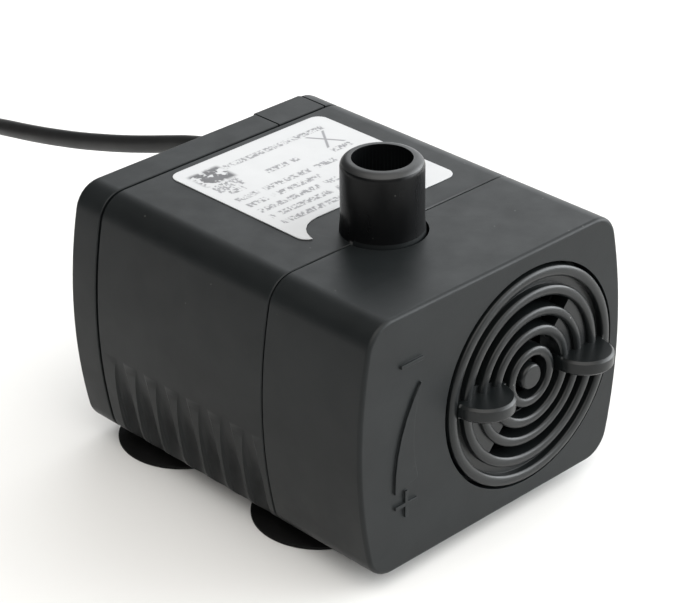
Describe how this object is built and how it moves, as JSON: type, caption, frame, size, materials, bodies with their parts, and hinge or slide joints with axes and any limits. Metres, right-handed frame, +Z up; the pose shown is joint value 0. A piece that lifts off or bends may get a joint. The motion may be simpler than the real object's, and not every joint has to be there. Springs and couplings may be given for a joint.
{
  "type": "fountain submersible pump",
  "caption": "Small submersible fountain pump with an upright hose spigot, a turning flow regulator in the front cover, suction-cup feet and a thin lead with a DC plug.",
  "frame": {"origin": "on the surface that the suction cups stand on, below the middle of the pump's box, lead left out", "axes": "+X to the right seen from the front, +Y from the front face with the regulator to the rear, +Z up along the outlet spigot"},
  "size_m": [0.0646, 0.1791, 0.0432],
  "materials": {
    "casing": "fine satin texture",
    "regulator": "satin",
    "inner_plastic": "satin",
    "impeller_plastic": "satin",
    "washer_plastic": "satin",
    "bobbin_plastic": "satin",
    "rubber": "matte",
    "cup_rubber": "soft satin",
    "ferrite": "ground",
    "ceramic": "polished",
    "core_steel": "stacked sheets",
    "copper": "enamelled wire",
    "chip": "moulded",
    "board": "solder mask",
    "capacitor": "sleeve",
    "resin": "cast",
    "label": "satin film",
    "wire": "insulated",
    "cord": "satin sheath",
    "tie": "woven strap",
    "plug": "moulded satin",
    "plug_metal": "nickel plated",
    "plug_plastic": "moulded",
    "contact": "plated"
  },
  "bodies": {
    "pump": {"motor_housing": "casing", "rear_cover": "casing", "chamber_cover": "inner_plastic", "chamber_seal": "rubber", "rotor_shaft": "ceramic", "front_bush": "rubber", "rear_bush": "rubber", "thrust_washer": "washer_plastic", "stator_core": "core_steel", "coil_bobbin": "bobbin_plastic", "stator_winding": "copper", "hall_sensor": "chip", "circuit_board": "board", "driver_chip": "chip", "filter_capacitor": "capacitor", "guard_diode": "chip", "potting_compound": "resin", "rating_label": "label", "cord_outlet": "casing", "strain_relief": "rubber", "lead_wires": "wire", "power_cord": "cord", "cord_coil": "cord", "cord_tie": "tie", "cord_tail": "cord", "plug_body": "plug", "plug_barrel": "plug_metal", "plug_insulator": "plug_plastic", "plug_contact": "contact", "suction_cup_front_left": "cup_rubber", "suction_cup_front_right": "cup_rubber", "suction_cup_rear_left": "cup_rubber", "suction_cup_rear_right": "cup_rubber"},
    "cover": {"front_cover": "casing"},
    "regulator": {"flow_regulator": "regulator"},
    "rotor": {"impeller": "impeller_plastic", "rotor_magnet": "ferrite"}
  },
  "joints": [
    {"name": "cover_slide", "type": "slide", "parent": "pump", "child": "cover", "axis": [0, -1, 0], "range_m": [0, 0.018]},
    {"name": "regulator_turn", "type": "hinge", "parent": "cover", "child": "regulator", "pos_m": [0.0058, -0.0226, 0.0182], "axis": [0, -1, 0], "range_deg": [-24, 24]},
    {"name": "rotor_spin", "type": "hinge", "parent": "pump", "child": "rotor", "pos_m": [0.0058, 0, 0.0182], "axis": [0, -1, 0], "continuous": true}
  ]
}
